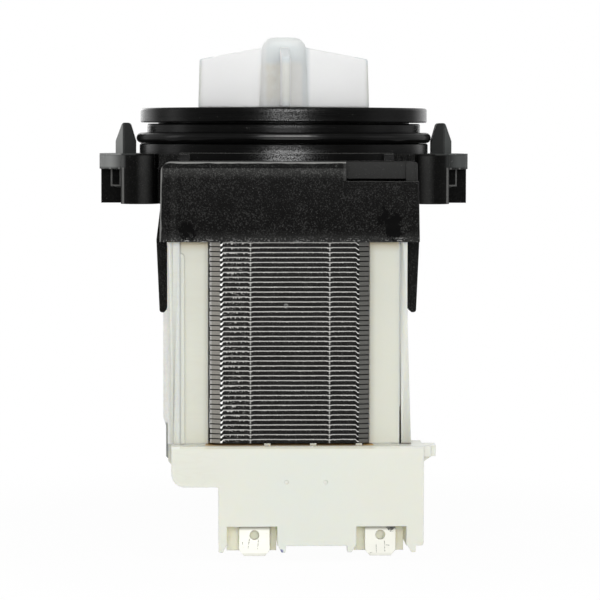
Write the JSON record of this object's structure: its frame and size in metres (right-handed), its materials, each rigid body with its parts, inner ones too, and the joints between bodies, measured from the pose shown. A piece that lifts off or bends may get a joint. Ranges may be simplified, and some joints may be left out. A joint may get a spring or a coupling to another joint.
{
  "type": "washer drain pump",
  "caption": "Synchronous drain pump: grooved nose, cross-bladed impeller on a canned rotor, U-core motor, coil shell and push-on tabs.",
  "frame": {"origin": "rotor axis at the top plane of the rim", "axes": "+Z along the rotor axis towards the impeller, -Y towards the core's yoke, +X to the side with the clip"},
  "size_m": [0.0802, 0.0801, 0.1074],
  "materials": {
    "black_plastic": "fine grain",
    "black_rubber": "satin",
    "white_plastic": "satin",
    "natural_plastic": "translucent",
    "sheet_steel": "oiled, with bright burrs",
    "tinned_tab": "tin plated",
    "shaft_steel": "ground",
    "ferrite": "matte",
    "copper": "enamelled wire",
    "bush": "ground",
    "washer_plastic": "smooth",
    "fuse": "glazed"
  },
  "bodies": {
    "stator": {"front_plate": "black_plastic", "motor_bracket": "black_plastic", "o_ring": "black_rubber", "rotor_can": "black_plastic", "can_seal": "black_rubber", "shaft_seal": "black_rubber", "front_bearing": "bush", "front_bearing_holder": "black_rubber", "rear_bearing": "bush", "rear_bearing_holder": "black_rubber", "core_laminations": "sheet_steel", "bobbin_left": "white_plastic", "bobbin_right": "white_plastic", "winding_left": "copper", "winding_right": "copper", "coil_frame": "white_plastic", "coil_cover": "white_plastic", "terminal_base": "white_plastic", "terminal_left": "tinned_tab", "terminal_right": "tinned_tab", "thermal_fuse": "fuse"},
    "rotor": {"rotor_shaft": "shaft_steel", "magnet_core": "black_plastic", "rotor_magnet": "ferrite", "magnet_cap_front": "black_plastic", "magnet_cap_rear": "black_plastic", "thrust_washer_front": "washer_plastic", "thrust_washer_rear": "washer_plastic", "drive_dog": "washer_plastic"},
    "impeller": {"impeller": "natural_plastic", "hub_plug": "natural_plastic"}
  },
  "joints": [
    {"name": "rotor_spin", "type": "hinge", "parent": "stator", "child": "rotor", "pos_m": [0, 0, 0], "axis": [0, 0, 1], "continuous": true},
    {"name": "impeller_lash", "type": "hinge", "parent": "rotor", "child": "impeller", "pos_m": [0, 0, 0], "axis": [0, 0, 1], "range_deg": [-90, 90]}
  ]
}
